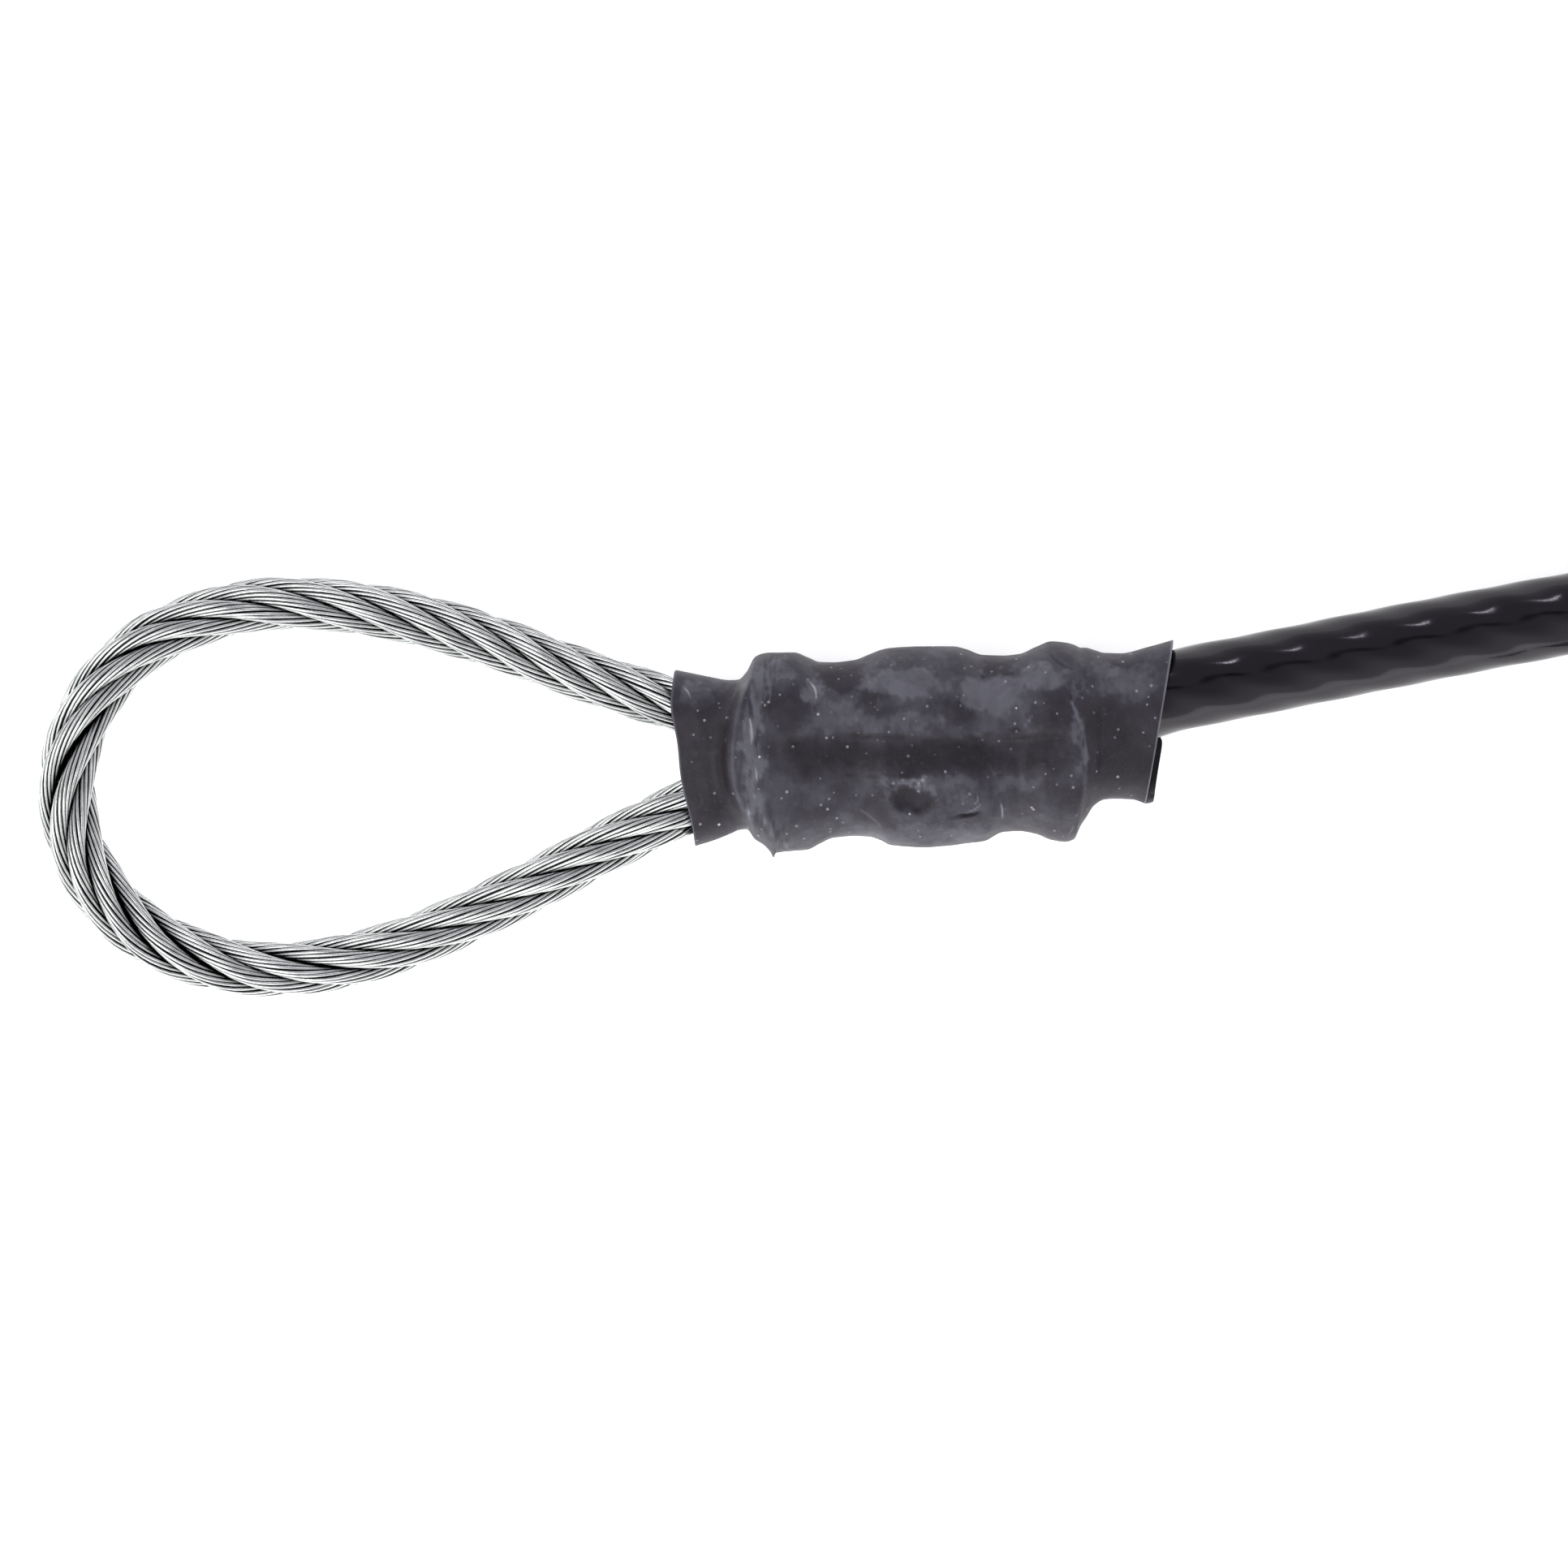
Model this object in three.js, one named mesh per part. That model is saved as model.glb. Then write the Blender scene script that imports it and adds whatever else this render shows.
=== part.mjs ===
// A wire rope tether with a soft eye at each end, lying flat on a table.
// Millimetres. +X runs from the near eye to its ferrule, +Z is up from the table, and the origin is on the table
// under the middle of the near eye with its ferrule and sleeve.
import * as THREE from "three";

// Driving dimensions
const INCH = 25.4;
const ROPE_DIAMETER = INCH / 8;
const CABLE_DIAMETER = (3 / 16) * INCH;
const OUTER_STRANDS = 6;
const ROPE_LAY = 23;
const AXIS_HEIGHT = 4.05;
const TOUCH_GAP = 0.3;

// Strands
const STRAND_DIAMETER = ROPE_DIAMETER / 3;
const STRAND_CORNER_RADIUS = 0.49;
const CORE_CORNER_RADIUS = 0.45;
const STRAND_SIDES = 5;
const STRAND_STEPS = 64;
const CORE_STEPS = 40;

// Ferrule: an oval sleeve of soft metal round both legs of the eye, pressed twice
const FERRULE_LENGTH = 19.3;
const FERRULE_CENTRE = new THREE.Vector3(18.4, 2.29, AXIS_HEIGHT);
const FERRULE_TILT = 0.0385;
const LEG_SPREAD = 1.75;
const BORE_RADIUS = 1.74;
const BELL_RADIUS = 2.0;
const FERRULE_RADIUS = 3.5;
const PRESSED_RADIUS = 2.95;
const FERRULE_EDGE_RADIUS = 3.05;
const TUBE_SIDES = 20;

// Heat-shrink sleeve
const SLEEVE_WALL = 0.43;
const SLEEVE_RADIUS = 4.1;
const SLEEVE_DIP_RADIUS = 3.55;

// Cable and its coil
const CABLE_SIDES = 10;
const CABLE_STEP = 2 * CABLE_DIAMETER;
const COIL_CENTRE = new THREE.Vector2(94, -15.3);
const COIL_INNER_TURN = 23.8;
const COIL_OUTER_TURN = COIL_INNER_TURN + 1.02 * CABLE_DIAMETER;
const LAYER_PITCH = 5.1;
const COIL_FACETS = 44;

// Nylon ties round the coil
const TIE_THICKNESS = 1.1;
const TIE_WIDTH = 3.6;
const TIE_HEAD = { x: 3.6, z: 5.2 };
const TIE_ANGLES = { coil_tie_left: 215, coil_tie_right: 325 };

// Heights that follow
const COIL_BOTTOM = TIE_THICKNESS + TOUCH_GAP;
const LOWER_LAYER = COIL_BOTTOM + CABLE_DIAMETER / 2;
const UPPER_LAYER = LOWER_LAYER + LAYER_PITCH;
const COIL_TOP = UPPER_LAYER + CABLE_DIAMETER / 2;
const COIL_INSIDE = COIL_INNER_TURN - CABLE_DIAMETER / 2;
const COIL_OUTSIDE = COIL_OUTER_TURN + CABLE_DIAMETER / 2;

// Materials
const finish = (color, roughness, metalness) => new THREE.MeshStandardMaterial({ color, roughness, metalness });
const galvanised = finish(0xb4b9bd, 0.35, 0.9);
const aluminium = finish(0xa9abad, 0.45, 0.9);
const shrinkPlastic = finish(0x3a3a3f, 0.7, 0);
const jacketPlastic = finish(0x111113, 0.2, 0);
const tieNylon = finish(0x17171a, 0.45, 0);

// The rope's centreline from the end of the live leg, through the ferrule, round the eye and back to the cut end
const EYE_ROUTE = [
  [28.65, 4.42, 4.05],
  [23, 4.21, 4.05],
  [17.5, 4.0, 4.05],
  [12, 3.79, 4.05],
  [8.2, 3.69, 4.05],
  [4.1, 4.72, 4.0],
  [-1, 6.36, 3.75],
  [-7.6, 8.74, 3.2],
  [-12.2, 9.98, 2.95],
  [-16.6, 10.6, 2.7],
  [-21.5, 10.35, 2.4],
  [-26.9, 8.2, 2.1],
  [-30.3, 4.5, 1.95],
  [-31.6, -0.1, 1.9],
  [-30.5, -4.6, 1.95],
  [-27.1, -8.5, 2.05],
  [-22.5, -10.45, 2.25],
  [-18, -10.75, 2.5],
  [-12.4, -9.55, 2.8],
  [-6.1, -6.85, 3.2],
  [0.4, -3.45, 3.75],
  [4.4, -1.45, 4.0],
  [7.4, -0.1, 4.05],
  [9.8, 0.2, 4.05],
  [17.5, 0.49, 4.05],
  [23, 0.71, 4.05],
  [29.4, 0.95, 4.05],
];

// Cable from the ferrule to where it joins the coil
const NEAR_ROUTE = [
  [28.95, 4.45, 4.05],
  [30.5, 4.72, 4.05],
  [33.3, 5.5, 4.0],
  [38.8, 6.6, 3.85],
  [46.4, 8.12, 3.75],
  [54, 9.57, 3.72],
  [61, 10.8, 3.74],
  [68, 11.9, 3.77],
  [75, 12.7, 3.78],
];

// Cable from the coil, down to the table and to the far ferrule
const FAR_ROUTE = [
  [89.1, 18.55, 8.95],
  [95.15, 20.15, 8.6],
  [101.4, 20.7, 7.4],
  [107.65, 20.15, 5.75],
  [113.7, 18.55, 4.5],
  [119.4, 15.9, 4.05],
  [122, 14.4, 4.05],
];

const route = (points) => new THREE.CatmullRomCurve3(points.map((p) => new THREE.Vector3(...p)), false, "centripetal");

// A helix round a centreline that stays close to level
class LaidStrand extends THREE.Curve {
  constructor(centreline, radius, lay, phase) {
    super();
    this.centreline = centreline;
    this.radius = radius;
    this.turns = centreline.getLength() / lay;
    this.phase = phase;
  }

  getPoint(t, target = new THREE.Vector3()) {
    const forward = this.centreline.getTangentAt(t);
    const left = new THREE.Vector3(0, 0, 1).cross(forward).normalize();
    const up = forward.clone().cross(left);
    const angle = this.phase + 2 * Math.PI * this.turns * t;
    return target
      .copy(this.centreline.getPointAt(t))
      .addScaledVector(left, this.radius * Math.cos(angle))
      .addScaledVector(up, this.radius * Math.sin(angle));
  }
}

function polygon(sides, radius) {
  const corners = [];
  for (let side = 0; side < sides; side += 1) {
    const angle = (2 * Math.PI * side) / sides;
    corners.push(new THREE.Vector2(radius * Math.cos(angle), radius * Math.sin(angle)));
  }
  return new THREE.Shape(corners);
}

const sweep = (curve, sides, radius, steps) =>
  new THREE.ExtrudeGeometry(polygon(sides, radius), { extrudePath: curve, steps, bevelEnabled: false });

// A tube of oval section along X. A station gives its place, the lean of its plane, its middle in Y, half the
// distance between the centres of its round sides, and the outer and inner radius of those sides.
function ovalTube(stations, sides) {
  const outer = stations.map((station) => ({ ...station, radius: station.outer }));
  const inner = stations.map((station) => ({ ...station, radius: station.inner })).reverse();
  const outline = [...outer, ...inner, outer[0]];
  const profile = outline.map((ring) => new THREE.Vector2(ring.radius, -ring.x));
  const geometry = new THREE.LatheGeometry(profile, sides);
  const position = geometry.getAttribute("position");
  for (let index = 0; index < position.count; index += 1) {
    const ring = outline[index % outline.length];
    const column = Math.floor(index / outline.length);
    const angle = (2 * Math.PI * (column + 0.5)) / sides;
    const across = ring.radius * Math.cos(angle) + Math.sign(Math.cos(angle)) * ring.spread;
    position.setXYZ(index, ring.x + ring.lean * across, ring.middle + across, ring.radius * Math.sin(angle));
  }
  return geometry;
}

function ferruleGeometry() {
  const end = FERRULE_LENGTH / 2;
  const half = [
    [1.9, FERRULE_RADIUS, BORE_RADIUS],
    [3.8, PRESSED_RADIUS, BORE_RADIUS],
    [5.8, PRESSED_RADIUS, BORE_RADIUS],
    [7.4, FERRULE_RADIUS, BORE_RADIUS],
    [end - 0.75, FERRULE_RADIUS, BORE_RADIUS],
    [end, FERRULE_EDGE_RADIUS, BELL_RADIUS],
  ];
  const mirrored = half.map(([x, outer, inner]) => [-x, outer, inner]).reverse();
  const placed = [...mirrored, ...half].map(([x, outer, inner]) => ({
    x,
    outer,
    inner,
    lean: 0,
    middle: 0,
    spread: LEG_SPREAD,
  }));
  return ovalTube(placed, TUBE_SIDES);
}

// The sleeve hugs the ferrule, draws in past both its ends and flares again at its cut ends. Its stations are
// measured from the ferrule's centre.
function sleeveGeometry() {
  const stations = [
    [-13.65, -0.08, -0.1, 3.0, 2.1],
    [-12.1, -0.04, -0.25, 2.35, 2.43],
    [-10.5, 0, -0.14, 1.88, 2.55],
    [-9.8, 0, -0.03, LEG_SPREAD, 3.7],
    [-8.9, 0, 0, LEG_SPREAD, SLEEVE_RADIUS],
    [-7.4, 0, 0, LEG_SPREAD, SLEEVE_RADIUS],
    [-5.8, 0, 0, LEG_SPREAD, SLEEVE_DIP_RADIUS],
    [-3.8, 0, 0, LEG_SPREAD, SLEEVE_DIP_RADIUS],
    [-1.9, 0, 0, LEG_SPREAD, SLEEVE_RADIUS],
    [1.9, 0, 0, LEG_SPREAD, SLEEVE_RADIUS],
    [3.8, 0, 0, LEG_SPREAD, SLEEVE_DIP_RADIUS],
    [5.8, 0, 0, LEG_SPREAD, SLEEVE_DIP_RADIUS],
    [7.4, 0, 0, LEG_SPREAD, SLEEVE_RADIUS],
    [8.9, 0, 0, LEG_SPREAD, SLEEVE_RADIUS],
    [9.8, 0.04, 0.06, LEG_SPREAD, 3.75],
    [10.5, 0.1, 0.65, 1.45, 2.98],
    [11.7, 0.16, 0.72, 1.35, 2.93],
    [14.1, 0.21, 0.84, 1.76, 3.0],
  ];
  const placed = stations.map(([x, lean, middle, spread, outer]) => ({
    x,
    lean,
    middle,
    spread,
    outer,
    inner: outer - SLEEVE_WALL,
  }));
  return ovalTube(placed, TUBE_SIDES);
}

function coilGeometry() {
  const corner = CABLE_DIAMETER / 3;
  const profile = [
    [COIL_INSIDE, COIL_BOTTOM + corner],
    [COIL_INSIDE + corner, COIL_BOTTOM],
    [COIL_OUTSIDE - corner, COIL_BOTTOM],
    [COIL_OUTSIDE, COIL_BOTTOM + corner],
    [COIL_OUTSIDE, COIL_TOP - corner],
    [COIL_OUTSIDE - corner, COIL_TOP],
    [COIL_INSIDE + corner, COIL_TOP],
    [COIL_INSIDE, COIL_TOP - corner],
    [COIL_INSIDE, COIL_BOTTOM + corner],
  ];
  return new THREE.LatheGeometry(profile.map((p) => new THREE.Vector2(...p)), COIL_FACETS);
}

// A strap drawn round the bundle, with its square head on the outside
function tieGeometry() {
  const hole = { left: COIL_INSIDE - TOUCH_GAP, right: COIL_OUTSIDE + TOUCH_GAP, low: TIE_THICKNESS };
  hole.high = COIL_TOP + TOUCH_GAP;
  const left = hole.left - TIE_THICKNESS;
  const right = hole.right + TIE_THICKNESS;
  const high = hole.high + TIE_THICKNESS;
  const cut = 0.7 * TIE_THICKNESS;
  const headBottom = COIL_BOTTOM + cut;
  const headTop = headBottom + TIE_HEAD.z;
  const headRoot = right + TOUCH_GAP;
  const strap = new THREE.Shape([
    new THREE.Vector2(left + cut, 0),
    new THREE.Vector2(right - cut, 0),
    new THREE.Vector2(right, cut),
    new THREE.Vector2(headRoot, headBottom),
    new THREE.Vector2(right + TIE_HEAD.x, headBottom),
    new THREE.Vector2(right + TIE_HEAD.x, headTop),
    new THREE.Vector2(headRoot, headTop),
    new THREE.Vector2(right, high - cut),
    new THREE.Vector2(right - cut, high),
    new THREE.Vector2(left + cut, high),
    new THREE.Vector2(left, high - cut),
    new THREE.Vector2(left, cut),
  ]);
  strap.holes.push(
    new THREE.Path([
      new THREE.Vector2(hole.left, hole.low),
      new THREE.Vector2(hole.left, hole.high),
      new THREE.Vector2(hole.right, hole.high),
      new THREE.Vector2(hole.right, hole.low),
    ]),
  );
  const geometry = new THREE.ExtrudeGeometry(strap, { depth: TIE_WIDTH, bevelEnabled: false });
  return geometry.translate(0, 0, -TIE_WIDTH / 2).rotateX(Math.PI / 2);
}

function named(name, geometry, material) {
  const mesh = new THREE.Mesh(geometry, material);
  mesh.name = name;
  return mesh;
}

// One end of the tether: seven strands bent into an eye, the ferrule on its legs and the sleeve over the ferrule
function eyeEnd(prefix) {
  const end = new THREE.Group();
  const centreline = route(EYE_ROUTE);
  centreline.arcLengthDivisions = 800;
  for (let strand = 1; strand <= OUTER_STRANDS; strand += 1) {
    const phase = (2 * Math.PI * strand) / OUTER_STRANDS;
    const laid = new LaidStrand(centreline, STRAND_DIAMETER, ROPE_LAY, phase);
    laid.arcLengthDivisions = 800;
    const geometry = sweep(laid, STRAND_SIDES, STRAND_CORNER_RADIUS, STRAND_STEPS);
    end.add(named(`${prefix}eye_strand_${strand}`, geometry, galvanised));
  }
  const core = sweep(centreline, STRAND_SIDES, CORE_CORNER_RADIUS, CORE_STEPS);
  end.add(named(`${prefix}eye_core_strand`, core, galvanised));

  const grip = new THREE.Group();
  grip.add(named(`${prefix}crimp_ferrule`, ferruleGeometry(), aluminium));
  grip.add(named(`${prefix}shrink_sleeve`, sleeveGeometry(), shrinkPlastic));
  grip.position.copy(FERRULE_CENTRE);
  grip.rotation.z = FERRULE_TILT;
  end.add(grip);
  return end;
}

function cableRun(name, points) {
  const curve = route(points);
  const steps = Math.ceil(curve.getLength() / CABLE_STEP);
  return named(name, sweep(curve, CABLE_SIDES, CABLE_DIAMETER / 2, steps), jacketPlastic);
}

function cableCoil() {
  const coil = new THREE.Group();
  const bundle = named("cable_coil", coilGeometry(), jacketPlastic);
  bundle.rotation.x = Math.PI / 2;
  coil.add(bundle);
  for (const [name, degrees] of Object.entries(TIE_ANGLES)) {
    const tie = named(name, tieGeometry(), tieNylon);
    tie.rotation.z = THREE.MathUtils.degToRad(degrees);
    coil.add(tie);
  }
  coil.position.set(COIL_CENTRE.x, COIL_CENTRE.y, 0);
  return coil;
}

const heading = (from, to) => Math.atan2(to[1] - from[1], to[0] - from[0]);

// Turned about Z and moved so that its cable leaves it along the last stretch of the far run
function farEnd() {
  const end = eyeEnd("far_");
  end.rotation.z = heading(FAR_ROUTE.at(-1), FAR_ROUTE.at(-2)) - heading(NEAR_ROUTE[0], NEAR_ROUTE[1]);
  const turned = new THREE.Vector3(...NEAR_ROUTE[0]).applyEuler(end.rotation);
  end.position.subVectors(new THREE.Vector3(...FAR_ROUTE.at(-1)), turned);
  return end;
}

const tether = new THREE.Group();
tether.add(eyeEnd(""));
tether.add(cableRun("cable_near_run", NEAR_ROUTE));
tether.add(cableCoil());
tether.add(cableRun("cable_far_run", FAR_ROUTE));
tether.add(farEnd());

export default tether;
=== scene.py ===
# A coated wire rope tether with a soft eye at each end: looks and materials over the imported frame.
# The scene is in metres. The tables and the shapes of the sleeve and ferrule are in millimetres.
import math

import bpy
import numpy as np
from mathutils import Matrix, Vector, noise

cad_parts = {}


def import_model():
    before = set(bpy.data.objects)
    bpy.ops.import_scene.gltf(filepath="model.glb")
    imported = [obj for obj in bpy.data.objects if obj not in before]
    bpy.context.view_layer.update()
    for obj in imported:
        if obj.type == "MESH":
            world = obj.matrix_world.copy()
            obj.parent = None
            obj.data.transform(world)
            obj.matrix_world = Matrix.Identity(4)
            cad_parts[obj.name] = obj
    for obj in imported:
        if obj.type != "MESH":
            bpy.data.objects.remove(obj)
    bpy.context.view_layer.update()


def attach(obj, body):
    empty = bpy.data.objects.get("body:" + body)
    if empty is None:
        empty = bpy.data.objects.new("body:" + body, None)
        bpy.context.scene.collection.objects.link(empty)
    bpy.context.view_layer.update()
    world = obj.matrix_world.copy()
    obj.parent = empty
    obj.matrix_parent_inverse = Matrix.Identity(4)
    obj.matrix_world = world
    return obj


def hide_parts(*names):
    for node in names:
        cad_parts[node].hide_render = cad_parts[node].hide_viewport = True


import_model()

MM = 0.001
INCH = 25.4 * MM
BODY = "root"

# Sizes that the frame's parts share
ROPE_DIAMETER = INCH / 8
CABLE_DIAMETER = 3 * INCH / 16
STRAND_DIAMETER = ROPE_DIAMETER / 3
WIRE_DIAMETER = ROPE_DIAMETER / 15
ROPE_LAY = 23 * MM
WIRE_LAY = 9.2 * MM
OUTER_STRANDS = 6
OUTER_WIRES = 12

# The height of the ferrule's axis and half the distance between the rope's two legs, in millimetres. The
# ferrule's tilt is in radians.
AXIS_HEIGHT = 4.05
LEG_SPREAD = 1.75
FERRULE_CENTRE = Vector((18.4, 2.29, AXIS_HEIGHT)) * MM
FERRULE_TILT = 0.0385

COIL_CENTRE = Vector((94.0, -15.3)) * MM
COIL_INNER_TURN = 23.8 * MM
COIL_OUTER_TURN = COIL_INNER_TURN + 1.02 * CABLE_DIAMETER
LOWER_LAYER = 1.4 * MM + CABLE_DIAMETER / 2
UPPER_LAYER = LOWER_LAYER + 5.1 * MM
LEAVING_RADIUS = 36 * MM
COIL_TURNS = 3.75
# Where the cable starts to change its turn or its layer, and how long that takes, both in turns
MOVES_INWARDS = (0.72, 0.26)
CLIMBS = (1.72, 0.26)
MOVES_OUTWARDS = (2.74, 0.24)
TIE_ANGLES = {"coil_tie_left": 215, "coil_tie_right": 325}

# The rope's centreline from the live leg round the eye to the cut end, in millimetres
EYE_ROUTE = [
    (28.65, 4.42, 4.05),
    (23, 4.21, 4.05),
    (17.5, 4.0, 4.05),
    (12, 3.79, 4.05),
    (8.2, 3.69, 4.05),
    (4.1, 4.72, 4.0),
    (-1, 6.36, 3.75),
    (-7.6, 8.74, 3.2),
    (-12.2, 9.98, 2.95),
    (-16.6, 10.6, 2.7),
    (-21.5, 10.4, 2.4),
    (-26.98, 8.3, 2.1),
    (-30.4, 4.55, 1.95),
    (-31.64, -0.1, 1.9),
    (-30.6, -4.68, 1.95),
    (-27.22, -8.58, 2.05),
    (-22.5, -10.52, 2.25),
    (-18, -10.75, 2.5),
    (-12.4, -9.55, 2.8),
    (-6.1, -6.85, 3.2),
    (0.4, -3.45, 3.75),
    (4.4, -1.45, 4.0),
    (7.4, -0.1, 4.05),
    (9.8, 0.2, 4.05),
    (17.5, 0.49, 4.05),
    (23, 0.71, 4.05),
    (29.4, 0.95, 4.05),
]

# The cable from the ferrule to the coil, and from the coil to the far ferrule, in millimetres
NEAR_ROUTE = [
    (28.95, 4.45, 4.05),
    (30.5, 4.72, 4.05),
    (33.3, 5.5, 4.0),
    (38.8, 6.6, 3.85),
    (46.4, 8.12, 3.75),
    (54, 9.57, 3.72),
    (61, 10.8, 3.74),
    (68, 11.9, 3.77),
    (75, 12.7, 3.78),
    (83, 13.2, 3.78),
]
FAR_ROUTE = [
    (89.1, 18.55, 8.95),
    (95.15, 20.15, 8.6),
    (101.4, 20.7, 7.4),
    (107.65, 20.15, 5.75),
    (113.7, 18.55, 4.5),
    (119.4, 15.9, 4.05),
    (122, 14.4, 4.05),
]


# ---------------------------------------------------------------- curves and meshes

def centripetal(points, per_span=24):
    """A smooth curve through the points, as an array of close points."""
    p = np.asarray(points, float)
    p = np.vstack([2 * p[0] - p[1], p, 2 * p[-1] - p[-2]])
    out = []
    for a, b, c, d in zip(p, p[1:], p[2:], p[3:]):
        t0 = 0.0
        t1 = t0 + max(np.linalg.norm(b - a), 1e-9) ** 0.5
        t2 = t1 + max(np.linalg.norm(c - b), 1e-9) ** 0.5
        t3 = t2 + max(np.linalg.norm(d - c), 1e-9) ** 0.5
        t = np.linspace(t1, t2, per_span, endpoint=False)[:, None]
        a1 = (t1 - t) / (t1 - t0) * a + (t - t0) / (t1 - t0) * b
        a2 = (t2 - t) / (t2 - t1) * b + (t - t1) / (t2 - t1) * c
        a3 = (t3 - t) / (t3 - t2) * c + (t - t2) / (t3 - t2) * d
        b1 = (t2 - t) / (t2 - t0) * a1 + (t - t0) / (t2 - t0) * a2
        b2 = (t3 - t) / (t3 - t1) * a2 + (t - t1) / (t3 - t1) * a3
        out.append((t2 - t) / (t2 - t1) * b1 + (t - t1) / (t2 - t1) * b2)
    out.append(p[-2][None, :])
    return np.vstack(out)


def evenly(points, step):
    """The same line with points a step apart, and the length at each."""
    gaps = np.linalg.norm(np.diff(points, axis=0), axis=1)
    along = np.concatenate([[0], np.cumsum(gaps)])
    count = max(2, int(round(along[-1] / step)) + 1)
    s = np.linspace(0, along[-1], count)
    return np.column_stack([np.interp(s, along, points[:, k]) for k in range(3)]), s


def unit(v):
    return v / np.linalg.norm(v, axis=-1, keepdims=True)


def tangents(points):
    return unit(np.gradient(points, axis=0))


def level_frame(points):
    """Directions to the left of and above a line that stays close to level."""
    forward = tangents(points)
    left = unit(np.cross([0.0, 0.0, 1.0], forward))
    return left, np.cross(forward, left)


def square_to(direction, forward):
    """The part of a direction that is square to the way a line runs."""
    return unit(direction - np.sum(direction * forward, axis=1, keepdims=True) * forward)


def turned_by(angle, first, second):
    """The direction at an angle from the first towards the second, at each point of a line."""
    return np.cos(angle)[:, None] * first + np.sin(angle)[:, None] * second


def ease(t):
    """From 0 to 1, with a level start and end."""
    t = np.clip(t, 0, 1)
    return t * t * (3 - 2 * t)


def ring_faces(rings, sides, start=0):
    """Quads between rings of points, and one face to close each end."""
    i = np.arange(rings - 1)[:, None] * sides + start
    j = np.arange(sides)[None, :]
    k = (j + 1) % sides
    quads = np.stack([i + j, i + k, i + sides + k, i + sides + j], axis=-1).reshape(-1, 4)
    first = list(range(start, start + sides))[::-1]
    last = list(range(start + (rings - 1) * sides, start + rings * sides))
    return quads.tolist(), [first, last]


def rim_faces(around, outer_last, inner_first, inner_last):
    """The faces that join an outer wall, which starts at vertex 0, to an inner one at both ends."""
    faces = []
    for k in range(around):
        nxt = (k + 1) % around
        faces.append([nxt, k, inner_first + k, inner_first + nxt])
        faces.append([outer_last + k, outer_last + nxt, inner_last + nxt, inner_last + k])
    return faces


def tube_points(path, first, second, radius, sides):
    """Rings of points round a path. radius is a number, or an array by ring and side."""
    angle = 2 * math.pi * np.arange(sides) / sides
    radius = np.broadcast_to(radius, (len(path), sides))[..., None]
    cosine, sine = np.cos(angle)[None, :, None], np.sin(angle)[None, :, None]
    out = cosine * first[:, None, :] + sine * second[:, None, :]
    return (path[:, None, :] + radius * out).reshape(-1, 3)


def new_piece(name, vertices, faces, material, place=None, values=None):
    mesh = bpy.data.meshes.new(name)
    mesh.from_pydata([tuple(v) for v in vertices], [], faces)
    if place is not None:
        mesh.transform(place)
    mesh.polygons.foreach_set("use_smooth", [True] * len(mesh.polygons))
    for key, numbers in (values or {}).items():
        mesh.attributes.new(key, "FLOAT", "POINT").data.foreach_set("value", np.asarray(numbers, np.float32))
    mesh.materials.append(material)
    mesh.update()
    piece = bpy.data.objects.new(name, mesh)
    bpy.context.scene.collection.objects.link(piece)
    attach(piece, BODY)
    return piece


# ---------------------------------------------------------------- materials

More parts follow.
